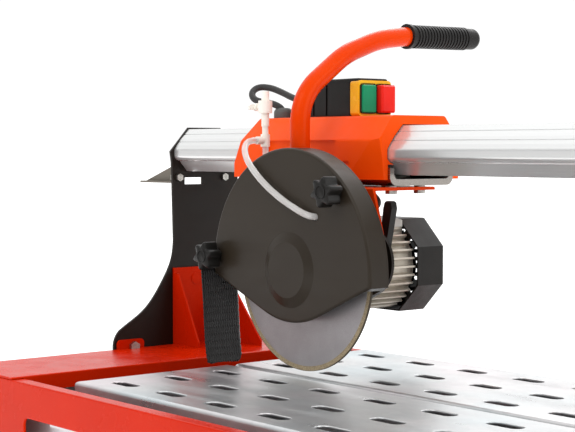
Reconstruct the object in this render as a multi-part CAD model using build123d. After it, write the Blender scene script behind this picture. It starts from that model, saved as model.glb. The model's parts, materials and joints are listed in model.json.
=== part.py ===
from build123d import *
import math
import os

# Overhead-rail wet tile cutter on four legs.
# Lengths are millimetres.  Everything is drawn about the centre of the blade at rest, with
# X along the rail, Y from the operator's side to the back and Z up.  export() moves it to the
# floor frame: the origin is on the floor, under the middle of the machine.

# ---- driving dimensions -------------------------------------------------------------------
BLADE_R = 125.0            # 250 mm diamond blade
BLADE_CORE = 2.2
RIM_T = 2.8
RIM_W = 6.0
TABLE_HEIGHT = 780.0       # table surface above the floor
CUT_CLEAR = 8.0            # blade bottom above the table surface at rest
TABLE_Z = -BLADE_R - CUT_CLEAR
FLOOR_Z = TABLE_Z - TABLE_HEIGHT

PLATE_X0 = -383.0          # inner face of the left bridge plate
PLATE_X1 = 739.0           # inner face of the right bridge plate
PLATE_T = 4.0
MID_X = (PLATE_X0 + PLATE_X1) / 2
BRACKET_REACH = 96.0       # side brackets stand this far out of the bridge plates

FRONT_Y = -272.0           # outer face of the front panel
REAR_Y = 258.0             # outer face of the rear panel
GRIP_END_Y = 330.0
MID_Y = (FRONT_Y + GRIP_END_Y) / 2
SHEET = 2.5
DECK_Z = -136.0            # top of the end decks
DECK_W = 142.5
FRAME_BOTTOM = -289.0

TILT_Z = DECK_Z + 2.0      # bevel axis, along X at Y = 0
TILT_SWING = 45.0
STUD_Y = 110.0             # lock stud in the upright
STUD_Z = -42.0
STUD_R = 5.0
RUN = 0.05                 # radial clearance of a pin in its hole
SLOT_CLEAR = 0.15

RAIL_Y = 129.0
RAIL_TOP = 176.0
RAIL_BOTTOM = 115.0
HOUSING_X0 = -220.0
HOUSING_X1 = 70.0
HOUSING_TOP = 188.5
HOUSING_BOTTOM = 109.5
CHANNEL_BOTTOM = 102.0
CHANNEL_HALF = 54.0
RAIL_GAP = 1.4             # room between the rail and the housing

PIVOT_X = -150.0           # plunge pivot of the cutting head
PIVOT_Z = 70.0
LEVER_X = 84.0             # clamp lever that holds the cutting depth
LEVER_Z = 12.0
PLUNGE_DOWN = 5.0
PLUNGE_UP = 7.0

GUARD_R = 149.5
GUARD_FRONT = -24.0
GUARD_REAR = 3.6
GUARD_WALL = 2.0
HEAD_Y = 31.0              # front face of the head plate
HEAD_T = 4.0
BRACKET_Y = 40.0           # front face of the hanging leg of the head bracket
BRACKET_T = 4.0
BRACKET_TOP = 100.5

MOTOR_R = 47.0
FIN_R = 55.0
FAN_COVER_R = 59.0
MOTOR_END = 184.0

HANDLE_R = 12.5
HANDLE_X = -30.0
HANDLE_Y = HEAD_Y - HANDLE_R

# ---- where the smaller pieces sit ---------------------------------------------------------
TABLE_X0 = -147.0
TABLE_X1 = PLATE_X1 - DECK_W - 16
TABLE_Y0 = -237.0
TABLE_Y1 = 235.0
KERF = 5.5
SLOT_X = -90.0
SLOT_PITCH = 94.0
SLOTS = 8
SLOT_LONG = 46.0
SLOT_WIDE = 18.0
SLOT_ROWS = 75.0
TRAY_TOP = -166.0
PUMP_X = 620.0
PUMP_Y = 150.0
LEG_TOP = FRAME_BOTTOM - 3
LEG_X = (PLATE_X0 + 42, PLATE_X1 - 42)
LEG_Y = (FRONT_Y + 34, REAR_Y - 34)
RAIL_BOLTS = ((-31, 160), (31, 160), (-28, 127), (28, 127))
BRACKET_BOLTS = ((82, 106), (164, 106))
PLATE_FOOT = -172.0
ROLLERS_X = (-194.0, 26.0)
ROLLER_R = 8.0
ROLLER_Z = RAIL_BOTTOM - ROLLER_R - 0.1
BRACKET_SCREWS = ((-166, 84), (-166, 132), (66, 84), (66, 132))
CABLE_X = 24.0
CABLE_Y = 92.0
SWITCH_X = -13.0
BUTTONS_Y = (RAIL_Y - 13.2, RAIL_Y + 13.2)
BUTTON_WELL = (193.0, 229.0)
GLAND_X = -168.0
GLAND_Y = 104.0
GUARD_X = -4.0
GUARD_Z = -1.0
GUARD_CHIN = 64.5          # lowest point of the guard's front, below the arbor
GUARD_CHIN_R = 134.5       # radius of its broad rounded chin
GUARD_CORNER = -13.0
KNOBS = ((88.0, 97.0), (-146.0, 10.0))
SPRAY = (50.0, 66.0)
FINS = 32
GRIP_START_Y = 200.0
GRIP_RIBS = 18
FLAP_BOTTOM = -127.0
TAP_X = -104.0
TAP_Y = 22.0
TAP_Z = 201.0
PLATE_WINDOW = ((93.0, 126.4), (95.8, 105.8))   # (Y, Z) of the slot beside the rail end

UPWARD = (Align.CENTER, Align.CENTER, Align.MIN)   # a solid of revolution stands on its base
SHIFT = Location((-MID_X, -MID_Y, -FLOOR_Z))


# ---- helpers ------------------------------------------------------------------------------
def block(x, y, z):
    """A box from three (low, high) pairs."""
    size = (x[1] - x[0], y[1] - y[0], z[1] - z[0])
    return Pos((x[0] + x[1]) / 2, (y[0] + y[1]) / 2, (z[0] + z[1]) / 2) * Box(*size)


def rod_x(r, x, y, z):
    """A round bar along X between two stations."""
    return Pos((x[0] + x[1]) / 2, y, z) * Rot(0, 90, 0) * Cylinder(r, x[1] - x[0])


def rod_y(r, x, y, z):
    """A round bar along Y between two stations."""
    return Pos(x, (y[0] + y[1]) / 2, z) * Rot(90, 0, 0) * Cylinder(r, y[1] - y[0])


def rod_z(r, x, y, z):
    """A round bar along Z between two stations."""
    return Pos(x, y, (z[0] + z[1]) / 2) * Cylinder(r, z[1] - z[0])


def hex_x(across, x, y, z):
    """A hexagon bar along X, across its flats."""
    face = Rot(0, 90, 0) * RegularPolygon(across / 2, 6, major_radius=False)
    return extrude(Pos(x[0], y, z) * face, x[1] - x[0], dir=(1, 0, 0))


def hex_y(across, x, y, z):
    """A hexagon bar along Y, across its flats."""
    face = Rot(90, 0, 0) * RegularPolygon(across / 2, 6, major_radius=False)
    return extrude(Pos(x, y[0], z) * face, y[1] - y[0], dir=(0, 1, 0))


def hex_z(across, x, y, z):
    """A hexagon bar along Z, across its flats."""
    face = Pos(x, y, z[0]) * RegularPolygon(across / 2, 6, major_radius=False)
    return extrude(face, z[1] - z[0], dir=(0, 0, 1))


def yz_plate(points, x0, x1):
    """A plate between x0 and x1, from an outline of (Y, Z) points."""
    wire = Polyline(*[(x0, y, z) for y, z in points], close=True)
    return extrude(make_face(wire), x1 - x0, dir=(1, 0, 0))


def xz_plate(face, y0, y1):
    """A plate between y0 and y1, from a face drawn in the XZ plane at Y = 0."""
    return extrude(Pos(0, y0, 0) * face, y1 - y0, dir=(0, 1, 0))


def mirror_x(shape):
    """The same piece at the other end of the machine."""
    return mirror(shape, about=Plane((MID_X, 0, 0), z_dir=(1, 0, 0)))


def group(*shapes):
    """Separate solids that share one node."""
    solids = []
    for shape in shapes:
        solids += shape.solids()
    return Compound(children=solids)


def export(name, shape):
    """Write one node in the floor frame."""
    export_step(shape.moved(SHIFT), f"parts/{name}.step")


# ---- frame --------------------------------------------------------------------------------
def folded_panel(outer_y, inward, windows):
    """A long sheet side with its top and bottom edges folded in, and its windows."""
    x = (PLATE_X0 + 3.5, PLATE_X1 - 3.5)
    top = DECK_Z - SHEET - 0.5
    flange = 17.0
    ys = sorted((outer_y, outer_y + inward * SHEET))
    fold = sorted((outer_y, outer_y + inward * flange))
    web = block(x, ys, (FRAME_BOTTOM, top))
    lip_top = block(x, fold, (top - SHEET, top))
    lip_bottom = block(x, fold, (FRAME_BOTTOM, FRAME_BOTTOM + SHEET))
    panel = web + lip_top + lip_bottom
    for x0, x1 in windows:
        hole = block((x0, x1), (outer_y - 10, outer_y + 10), (-252, -182))
        hole = fillet(hole.edges().filter_by(Axis.Y), 8)
        panel -= hole
    outer_edges = panel.edges().filter_by(Axis.X).group_by(Axis.Y)[0 if inward > 0 else -1]
    return fillet(outer_edges, 1.8)


def end_deck():
    """Left end of the frame: wide folded deck with the welded lug of the bevel pivot."""
    x = (PLATE_X0 + 0.5, PLATE_X0 + 0.5 + DECK_W)
    y = (FRONT_Y, REAR_Y)
    top = block(x, y, (DECK_Z - SHEET, DECK_Z))
    wall_y = (FRONT_Y + 18, REAR_Y - 18)
    wall = block((x[0], x[0] + SHEET), wall_y, (FRAME_BOTTOM + 3, DECK_Z))
    lip = block((x[1] - SHEET, x[1]), wall_y, (DECK_Z - 20, DECK_Z))
    deck = top + wall + lip
    deck = fillet(deck.edges().filter_by(Axis.Y).group_by(Axis.Z)[-1], 2.0)
    lug = block((x[0], x[0] + 4), (-26, 18), (TILT_Z - 14, TILT_Z + 11))
    lug = fillet(lug.edges().filter_by(Axis.X).group_by(Axis.Z)[-1], 6)
    slot = block((x[0] - 1, x[0] + 3.9), (-26.2, 18.2), (TILT_Z - 14.2, DECK_Z + 1))
    deck = deck - slot + lug
    return deck - rod_x(6 + RUN, (x[0] - 1, x[0] + 5), 0, TILT_Z)


def upright():
    """Left upright: a web with two spreading gusset flanges and a cap over the lock stud."""
    x0 = PLATE_X0 + 0.5
    y = (71.0, 160.0)
    top = -25.0
    wall = 3.0
    web_points = [(y[0], DECK_Z), (y[1], DECK_Z), (y[1], top - 8), (y[1] - 8, top), (y[0], top)]
    web = yz_plate(web_points, x0, x0 + wall)
    parts = [web]
    for y0, foot in ((y[0], 62.0), (y[1] - wall, 96.0)):
        corners = [(x0, y0, DECK_Z), (x0 + foot, y0, DECK_Z), (x0 + foot, y0, DECK_Z + 8)]
        corners += [(x0 + 12, y0, top - 8), (x0 + 6, y0, top - 8), (x0, y0, top - 8)]
        gusset = make_face(Polyline(*corners, close=True))
        parts.append(extrude(gusset, wall, dir=(0, 1, 0)))
    body = parts[0] + parts[1] + parts[2]
    body += rod_x(STUD_R + 3, (x0 + wall - 1, x0 + wall + 1.2), STUD_Y, STUD_Z)
    return body - rod_x(STUD_R + RUN, (x0 - 1, x0 + wall), STUD_Y, STUD_Z)


def pivot_bolt():
    """Bolt that the bevel turns on, with its head inside and its nut outside."""
    x0 = PLATE_X0 - PLATE_T
    shank = rod_x(6.0, (x0 - 11, PLATE_X0 + 4.5), 0, TILT_Z)
    head = hex_x(14, (PLATE_X0 + 4.5, PLATE_X0 + 10), 0, TILT_Z)
    head = head & block((-1000, 1000), (-20, 20), (DECK_Z, TILT_Z + 20))
    nut = hex_x(17, (x0 - 9, x0 - 0.4), 0, TILT_Z)
    return shank + head + nut


def lock_stud():
    """Threaded stud of the bevel lock, fixed in the upright."""
    return rod_x(STUD_R, (PLATE_X0 - PLATE_T - 24, PLATE_X0 + 3.5), STUD_Y, STUD_Z)


def table_panel(y, y_rows):
    """Folded sheet table panel with rows of slots, their upper edges rounded."""
    x = (TABLE_X0, TABLE_X1)
    z = (TABLE_Z - 26, TABLE_Z)
    shell = block(x, y, z)
    shell = fillet(shell.edges().group_by(Axis.Z)[-1], 4.5)
    inside = block((x[0] + 2, x[1] - 2), (y[0] + 2, y[1] - 2), (z[0] - 1, z[1] - 2))
    inside = fillet(inside.edges().group_by(Axis.Z)[-1], 2.5)
    shell -= inside
    cuts = []
    for row_y in y_rows:
        for k in range(SLOTS):
            centre_x = SLOT_X + k * SLOT_PITCH
            outline = SlotOverall(SLOT_LONG, SLOT_WIDE)
            cuts.append(Pos(centre_x, row_y, z[1] - 4) * extrude(outline, 8))
    shell -= cuts
    top = shell.faces().filter_by(Axis.Z).sort_by(Axis.Z)[-1]
    rims = [edge for wire in top.inner_wires() for edge in wire.edges()]
    return fillet(rims, 1.2)


def table_rests():
    """Angle ledges along the front and rear panels that carry the table."""
    x = (TABLE_X0 - 4, TABLE_X1 + 4)
    z = TABLE_Z - 26
    front = block(x, (FRONT_Y + SHEET, TABLE_Y0 + 14), (z - 3, z))
    front += block(x, (FRONT_Y + SHEET, FRONT_Y + SHEET + 3), (z - 26, z))
    rear = block(x, (TABLE_Y1 - 14, REAR_Y - SHEET), (z - 3, z))
    rear += block(x, (REAR_Y - SHEET - 3, REAR_Y - SHEET), (z - 26, z))
    middle = block(x, (-22, -10), (z - 3, z)) + block(x, (10, 22), (z - 3, z))
    for end in (TABLE_X0 - 16, TABLE_X1 + 4):
        middle += block((end, end + 12), (TABLE_Y0, TABLE_Y1), (z - 3, z))
    return front + rear + middle


def water_tray():
    """Open galvanised tray with a rolled rim and a drain hole."""
    x = (PLATE_X0 + 8, PLATE_X1 - 8)
    y = (FRONT_Y + 22, REAR_Y - 22)
    z = (FRAME_BOTTOM + 4, TRAY_TOP)
    tray = block(x, y, z)
    tray = fillet(tray.edges().filter_by(Axis.Z) + tray.edges().group_by(Axis.Z)[0], 14)
    inner = block((x[0] + 1.5, x[1] - 1.5), (y[0] + 1.5, y[1] - 1.5), (z[0] + 1.5, z[1] + 5))
    inner = fillet(inner.edges().filter_by(Axis.Z) + inner.edges().group_by(Axis.Z)[0], 12.5)
    return tray - inner


def water_pump():
    """Submersible pump standing in the tray: strainer foot, body and outlet barb."""
    x, y, z0 = PUMP_X, PUMP_Y, FRAME_BOTTOM + 5.5
    foot = block((x - 40, x + 40), (y - 28, y + 28), (z0, z0 + 14))
    foot = fillet(foot.edges().filter_by(Axis.Z), 10)
    slits = []
    for k in range(-3, 4):
        slits.append(block((x + 10 * k - 2, x + 10 * k + 2), (y - 30, y - 18), (z0 + 3, z0 + 10)))
        slits.append(block((x + 10 * k - 2, x + 10 * k + 2), (y + 18, y + 30), (z0 + 3, z0 + 10)))
    body = block((x - 34, x + 34), (y - 23, y + 23), (z0 + 14, z0 + 62))
    body = fillet(body.edges().filter_by(Axis.Z), 9)
    body = fillet(body.edges().group_by(Axis.Z)[-1], 5)
    barb = rod_z(6, x - 16, y, (z0 + 62, z0 + 88))
    rings = [Pos(x - 16, y, z0 + 68 + 7 * k) * Cone(7.4, 6, 5) for k in range(3)]
    return foot - slits + body + barb + rings


def leg(x, y):
    """Square tube leg that plugs into its socket."""
    tube = block((x - 15, x + 15), (y - 15, y + 15), (FLOOR_Z + 4, LEG_TOP))
    tube = fillet(tube.edges().filter_by(Axis.Z), 4)
    bore = block((x - 13, x + 13), (y - 13, y + 13), (FLOOR_Z + 3, LEG_TOP + 1))
    return tube - fillet(bore.edges().filter_by(Axis.Z), 2)


def leg_socket(x, y):
    """Welded sleeve under a corner of the frame."""
    sleeve = block((x - 18.2, x + 18.2), (y - 18.2, y + 18.2), (LEG_TOP - 78, LEG_TOP))
    sleeve = fillet(sleeve.edges().filter_by(Axis.Z), 5)
    bore = block((x - 15.2, x + 15.2), (y - 15.2, y + 15.2), (LEG_TOP - 80, LEG_TOP + 1))
    cap = block((x - 24, x + 24), (y - 24, y + 24), (LEG_TOP, FRAME_BOTTOM))
    return sleeve - fillet(bore.edges().filter_by(Axis.Z), 4) + cap


def foot_cap(x, y):
    """Rubber cap over the bottom of a leg."""
    cap = block((x - 19, x + 19), (y - 19, y + 19), (FLOOR_Z, FLOOR_Z + 34))
    cap = fillet(cap.edges().filter_by(Axis.Z), 6)
    cap = fillet(cap.edges().group_by(Axis.Z)[0], 2)
    pocket = block((x - 15.1, x + 15.1), (y - 15.1, y + 15.1), (FLOOR_Z + 4, FLOOR_Z + 40))
    return cap - fillet(pocket.edges().filter_by(Axis.Z), 4)


# ---- bridge -------------------------------------------------------------------------------
def rail_face(grow=0.0):
    """Section of the guide rail in (Y, Z), or a parallel outline that stands clear of it."""
    half = [(29, 0), (43, 14.5), (50, 23.5), (54, 29.5), (54, 40.5), (50, 44.5), (45, 46)]
    half += [(32, 61)]
    front = [(RAIL_Y - w, RAIL_TOP - h) for w, h in half]
    rear = [(RAIL_Y + w, RAIL_TOP - h) for w, h in reversed(half)]
    face = make_face(Polyline(*[(0, y, z) for y, z in front + rear], close=True))
    if grow:
        wire = face.faces()[0].outer_wire().offset_2d(grow, Kind.INTERSECTION)
        face = make_face(wire)
    return face


def rail():
    """Hollow aluminium guide rail with a rounded bead on each side."""
    length = PLATE_X1 - PLATE_X0
    bar = extrude(Pos(PLATE_X0, 0, 0) * rail_face(), length, dir=(1, 0, 0))
    for side in (-1, 1):
        near = bar.edges().filter_by(Axis.X)
        tips = [e for e in near if abs(e.center().Y - (RAIL_Y + side * 54)) < 0.1]
        bar = fillet(tips, 4.5)
        for w, h in ((36.4, 7.7), (46.3, 18.7)):
            line = rod_x(0.8, (PLATE_X0 - 1, PLATE_X1 + 1), RAIL_Y + side * w, RAIL_TOP - h)
            bar -= line
    holes = []
    for cell in ((-46, -20), (-17, 17), (20, 46)):
        low = RAIL_BOTTOM + 4
        high = RAIL_TOP - 4
        cut = block((PLATE_X0 - 1, PLATE_X1 + 1), (RAIL_Y + cell[0], RAIL_Y + cell[1]), (low, high))
        holes.append(cut)
    room = extrude(Pos(PLATE_X0 - 1, 0, 0) * rail_face(-4), length + 2, dir=(1, 0, 0))
    bar -= room & (holes[0] + holes[1] + holes[2])
    for w, z in RAIL_BOLTS:
        bar += rod_x(7.5, (PLATE_X0, PLATE_X1), RAIL_Y + w, z)
        bar -= rod_x(4 + RUN, (PLATE_X0 - 1, PLATE_X0 + 30), RAIL_Y + w, z)
        bar -= rod_x(4 + RUN, (PLATE_X1 - 30, PLATE_X1 + 1), RAIL_Y + w, z)
    return bar


def bridge_plate():
    """Left bridge plate: a swan-necked sheet from the bevel pivot up to the rail."""
    x0 = PLATE_X0 - PLATE_T
    rear = RAIL_Y + 61
    foot = (x0, -29.5, TILT_Z - 6)
    edge = Spline((x0, -20, TILT_Z + 24), (x0, 21.9, -83), (x0, 50.3, -49), (x0, 66.5, -21),
                  (x0, 74.0, 15), tangents=[(0, 0.82, 0.57), (0, 0.05, 1)])
    corner = ThreePointArc(foot, (x0, -28.4, TILT_Z + 11), edge @ 0)
    rest = Polyline(edge @ 1, (x0, 71, 128), (x0, 68.6, 143.7), (x0, 100.4, 178.5),
                    (x0, 157.6, 178.5), (x0, rear, 143.7), (x0, rear, PLATE_FOOT),
                    (x0, -29.5, PLATE_FOOT), foot)
    plate = extrude(make_face([edge, corner, rest]), PLATE_T, dir=(1, 0, 0))
    through = (x0 - 1, PLATE_X0 + 1)
    plate -= rod_x(6 + RUN, through, 0, TILT_Z)
    plate -= block(through, *PLATE_WINDOW)
    for y, z in BRACKET_BOLTS:
        plate -= rod_x(4 + RUN, through, y, z)
    for w, z in RAIL_BOLTS:
        plate -= rod_x(4 + RUN, through, RAIL_Y + w, z)
    return plate - lock_slot(x0)


def lock_slot(x0):
    """Arc slot that the lock stud runs through as the bridge tilts."""
    reach = math.hypot(STUD_Y, STUD_Z - TILT_Z)
    start = math.degrees(math.atan2(STUD_Z - TILT_Z, STUD_Y))
    half = STUD_R + SLOT_CLEAR
    ring = Cylinder(reach + half, PLATE_T + 4) - Cylinder(reach - half, PLATE_T + 6)
    wedge_points = [(0, 0)]
    for k in range(9):
        angle = math.radians(start - TILT_SWING * k / 8)
        wedge_points.append((2 * reach * math.cos(angle), 2 * reach * math.sin(angle)))
    wedge = Pos(0, 0, -10) * extrude(make_face(Polyline(*wedge_points, close=True)), 20)
    slot = ring & wedge
    for angle in (start, start - TILT_SWING):
        end = (reach * math.cos(math.radians(angle)), reach * math.sin(math.radians(angle)), 0)
        slot += Pos(*end) * Cylinder(half, PLATE_T + 4)
    frame_yz = Plane(origin=(x0 + PLATE_T / 2, 0, TILT_Z), x_dir=(0, 1, 0), z_dir=(1, 0, 0))
    return frame_yz.location * slot


def side_bracket():
    """Triangular sheet gusset with a foot flange, on the outside of the left plate."""
    x1 = PLATE_X0 - PLATE_T
    x0 = x1 - BRACKET_REACH
    z0 = 97.5
    points = [(x1, 92, z0), (x0, 92, z0), (x0, 92, z0 + 2), (x1, 92, z0 + 33)]
    gusset = extrude(make_face(Polyline(*points, close=True)), 2.5, dir=(0, 1, 0))
    foot = block((x0, x1), (82, 94.5), (z0, z0 + 2.5))
    back = block((x1 - 2.5, x1), (74, 176), (z0 - 2, z0 + 20))
    bracket = gusset + foot + back - block((x1 - 3, x1 + 1), *PLATE_WINDOW)
    for y, z in BRACKET_BOLTS:
        bracket -= rod_x(4 + RUN, (x1 - 5, x1 + 1), y, z)
    return bracket


def plate_bolts():
    """Bolts at the left end: rail screws outside, bracket bolts with nuts."""
    outer = PLATE_X0 - PLATE_T
    bolts = []
    for w, z in RAIL_BOLTS:
        y = RAIL_Y + w
        bolts.append(rod_x(4, (outer - 1, PLATE_X0 + 28), y, z) + hex_x(13, (outer - 6, outer), y, z))
    for y, z in BRACKET_BOLTS:
        shank = rod_x(4, (outer - 10, PLATE_X0 + 1), y, z)
        head = hex_x(10, (PLATE_X0, PLATE_X0 + 5), y, z)
        bolts.append(shank + head + hex_x(11, (outer - 8.5, outer - 2.5), y, z))
    return bolts


def clamp_knob():
    """Wing-shaped clamp nut of the bevel lock, outside the left plate."""
    x0 = PLATE_X0 - PLATE_T - 0.4
    hub = rod_x(12, (x0 - 18, x0), STUD_Y, STUD_Z)
    arm = block((x0 - 18, x0 - 8), (STUD_Y - 6, STUD_Y + 6), (STUD_Z - 68, STUD_Z))
    arm = fillet(arm.edges().filter_by(Axis.X).group_by(Axis.Z)[0], 5.5)
    knob = hub + arm
    knob = fillet(knob.faces().sort_by(Axis.X)[0].edges(), 2)
    return knob - rod_x(STUD_R + RUN, (x0 - 30, x0 + 1), STUD_Y, STUD_Z)


# ---- carriage -----------------------------------------------------------------------------
def housing():
    """Cast carriage housing: a saddle that wraps the rail and stands clear of it."""
    points = [(60, HOUSING_BOTTOM), (60, 158), (82, HOUSING_TOP), (172, HOUSING_TOP)]
    points += [(196, 158), (196, HOUSING_BOTTOM)]
    body = yz_plate(points, HOUSING_X0, HOUSING_X1)
    left = [(HOUSING_X0, 0, 128), (HOUSING_X0 + 30, 0, HOUSING_TOP), (HOUSING_X0 + 30, 0, 220)]
    left += [(HOUSING_X0 - 20, 0, 220), (HOUSING_X0 - 20, 0, 128)]
    body -= extrude(make_face(Polyline(*left, close=True)), 400, dir=(0, 1, 0))
    right = [(HOUSING_X1 + 1, 50, 0), (HOUSING_X1 + 1, 66, 0), (HOUSING_X1 - 8, 50, 0)]
    body -= Pos(0, 0, 50) * extrude(make_face(Polyline(*right, close=True)), 300, dir=(0, 0, 1))
    long_edges = body.edges().filter_by(Axis.X).group_by(Axis.Z)
    body = fillet(long_edges[-1] + long_edges[-2], 7)
    body -= corner_facet()
    body -= extrude(Pos(HOUSING_X0 - 1, 0, 0) * rail_face(RAIL_GAP), 300, dir=(1, 0, 0))
    inside = CHANNEL_HALF + 0.4
    body -= block((HOUSING_X0 - 1, HOUSING_X1 + 1), (RAIL_Y - inside, RAIL_Y + inside), (90, 128))
    recess = block((-150, -11), (59, 65), (90, 158)) + block((-12, 14), (59, 64), (90, 132))
    return body - recess


def corner_facet():
    """Wedge that slants the lower right corner of the housing's front face."""
    z = (HOUSING_BOTTOM - 1, 176)
    x = (HOUSING_X1 - 62, HOUSING_X1 + 1)
    front = make_face(Polyline((x[0], 59.9, z[0]), (x[1], 59.9, z[0]), (x[1], 59.9, z[1]), close=True))
    low = make_face(Polyline((x[0], 59.9, z[0]), (x[1], 59.9, z[0]), (x[1], 68, z[0]), close=True))
    end = make_face(Polyline((x[1], 59.9, z[0]), (x[1], 68, z[0]), (x[1], 59.9, z[1]), close=True))
    slant = make_face(Polyline((x[0], 59.9, z[0]), (x[1], 68, z[0]), (x[1], 59.9, z[1]), close=True))
    return Solid(Shell([front.face(), low.face(), end.face(), slant.face()]))


def slide_pads():
    """Acetal pads between the housing and the upper faces of the rail."""
    pads = []
    for x in (HOUSING_X0 + 44, HOUSING_X1 - 40):
        pads.append(block((x - 16, x + 16), (106, 152), (RAIL_TOP + 0.15, RAIL_TOP + RAIL_GAP)))
        for side in (-1, 1):
            pad = block((x - 16, x + 16), (-9, 9), (0.15, RAIL_GAP - 0.05))
            slope = math.degrees(math.atan2(14.5, 14.0))
            mid_y = RAIL_Y + side * 36.0
            pads.append(Pos(0, mid_y, RAIL_TOP - 7.25) * Rot(-side * slope, 0, 0) * pad)
    return pads


def lower_channel():
    """Aluminium channel under the rail, with upturned lips and the roller windows."""
    x = (HOUSING_X0 + 8, HOUSING_X1 + 3.5)
    outer = block(x, (RAIL_Y - CHANNEL_HALF, RAIL_Y + CHANNEL_HALF), (CHANNEL_BOTTOM, 124))
    outer = fillet(outer.edges().filter_by(Axis.X).group_by(Axis.Z)[0], 11)
    side = CHANNEL_HALF - 7
    inner = block((x[0] - 1, x[1] + 1), (RAIL_Y - side, RAIL_Y + side), (CHANNEL_BOTTOM + 8, 130))
    inner = fillet(inner.edges().filter_by(Axis.X).group_by(Axis.Z)[0], 6)
    channel = outer - inner
    clear = extrude(Pos(x[0] - 1, 0, 0) * rail_face(0.6), 400, dir=(1, 0, 0))
    channel -= clear
    for roller_x in ROLLERS_X:
        channel -= block((roller_x - 10, roller_x + 10), (107, 151), (90, 130))
        channel -= rod_y(2.5 + RUN, roller_x, (96, 162), ROLLER_Z)
    return channel


def roller(x):
    """Steel roller with journals that runs on the underside of the rail."""
    return rod_y(ROLLER_R, x, (109, 149), ROLLER_Z) + rod_y(2.5, x, (98, 160), ROLLER_Z)


def head_bracket():
    """Folded bracket under the channel; its leg hangs down behind the cutting head."""
    x = (-182.0, 80.0)
    shelf = block(x, (BRACKET_Y, 145), (BRACKET_TOP - BRACKET_T, BRACKET_TOP))
    leg_points = [(x[0], BRACKET_TOP), (x[1], BRACKET_TOP), (x[1] + 22, LEVER_Z + 14)]
    leg_points += [(x[1] + 22, LEVER_Z - 24), (x[1] - 16, LEVER_Z - 24), (x[1] - 40, 30)]
    leg_points += [(-90, 30), (-140, 44), (x[0], 44)]
    leg = make_face(Polyline(*[(px, 0, pz) for px, pz in leg_points], close=True))
    leg = xz_plate(leg, BRACKET_Y, BRACKET_Y + BRACKET_T)
    bracket = shelf + leg
    bracket = fillet(bracket.edges().filter_by(Axis.X).sort_by(Axis.Z)[-2:], 2.5)
    bracket -= rod_y(72, 2, (BRACKET_Y - 2, BRACKET_Y + 6), 7)
    bracket -= rod_y(STUD_R + RUN, PIVOT_X, (BRACKET_Y - 2, BRACKET_Y + 6), PIVOT_Z)
    bracket -= rod_y(STUD_R + RUN, LEVER_X, (BRACKET_Y - 2, BRACKET_Y + 6), LEVER_Z)
    for bx, by in BRACKET_SCREWS:
        bracket -= rod_z(4 + RUN, bx, by, (BRACKET_TOP - 8, BRACKET_TOP + 2))
    notch_x = (ROLLERS_X[1] - ROLLER_R - 2, ROLLERS_X[1] + ROLLER_R + 2)
    bracket -= block(notch_x, (107, 151), (BRACKET_TOP - 6, BRACKET_TOP + 2))
    return bracket - rod_z(6, CABLE_X, CABLE_Y, (BRACKET_TOP - 8, BRACKET_TOP + 2))


def carriage_bolts():
    """Bracket screws with spacers, the plunge pivot and the depth stud."""
    bolts = []
    for x, y in BRACKET_SCREWS:
        screw = rod_z(4, x, y, (BRACKET_TOP - 8, CHANNEL_BOTTOM))
        head = hex_z(13, x, y, (BRACKET_TOP - BRACKET_T - 4.5, BRACKET_TOP - BRACKET_T))
        bolts.append(screw + head + rod_z(7, x, y, (BRACKET_TOP, CHANNEL_BOTTOM)))
    pin = rod_y(STUD_R, PIVOT_X, (HEAD_Y - 5, BRACKET_Y + 12), PIVOT_Z)
    pin += hex_y(15, PIVOT_X, (HEAD_Y - 5.5, HEAD_Y - 0.3), PIVOT_Z)
    pin += rod_y(9, PIVOT_X, (HEAD_Y + HEAD_T + 0.3, BRACKET_Y), PIVOT_Z)
    pin += hex_y(15, PIVOT_X, (BRACKET_Y + BRACKET_T, BRACKET_Y + 11), PIVOT_Z)
    stud = rod_y(STUD_R, LEVER_X, (HEAD_Y - 5, BRACKET_Y + 17), LEVER_Z)
    stud += hex_y(17, LEVER_X, (HEAD_Y - 6, HEAD_Y - 0.3), LEVER_Z)
    stud += rod_y(9, LEVER_X, (HEAD_Y + HEAD_T + 0.3, BRACKET_Y), LEVER_Z)
    return bolts + [pin, stud]


def depth_lever():
    """Clamp lever on the depth stud; its arm points up when it is tight."""
    y0 = BRACKET_Y + BRACKET_T + 0.3
    hub = rod_y(9, LEVER_X, (y0, y0 + 14), LEVER_Z)
    outline = [(-4, 0), (5, 64), (8, 73), (18, 73), (20, 64), (6, 0)]
    outline = [(LEVER_X + dx, 0, LEVER_Z + dz) for dx, dz in outline]
    lever = hub + xz_plate(make_face(Polyline(*outline, close=True)), y0 + 5, y0 + 14)
    lever = fillet(lever.faces().sort_by(Axis.Z)[-1].edges(), 3)
    return lever - rod_y(STUD_R + RUN, LEVER_X, (y0 - 1, y0 + 15), LEVER_Z)


def switch_box():
    """Black switch enclosure on the housing, with its lid."""
    box = block((-129, SWITCH_X - 16), (RAIL_Y - 27, RAIL_Y + 27), (HOUSING_TOP, 232))
    box = fillet(box.edges().filter_by(Axis.Z), 4)
    for x in (-104, -78):
        box -= block((x, x + 4), (RAIL_Y - 28, RAIL_Y - 25.5), (HOUSING_TOP + 2, 230))
    lid = block((-126, SWITCH_X - 4), (RAIL_Y - 25, RAIL_Y + 25), (232, 237.5))
    return box + fillet(lid.edges().group_by(Axis.Z)[-1], 2.5)


def switch_plate():
    """Yellow front of the switch, with a well for each button."""
    z = (HOUSING_TOP + 0.3, 234.5)
    face = block((SWITCH_X - 16, SWITCH_X), (RAIL_Y - 28, RAIL_Y + 28), z)
    face = fillet(face.edges().filter_by(Axis.X), 5)
    face -= block((SWITCH_X - 17, SWITCH_X - 3.8), (RAIL_Y - 26, RAIL_Y + 26), (231.8, 236))
    for y in BUTTONS_Y:
        well = block((SWITCH_X - 12, SWITCH_X + 1), (y - 12.3, y + 12.3), BUTTON_WELL)
        face -= fillet(well.edges().filter_by(Axis.X), 3)
    return face


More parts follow.
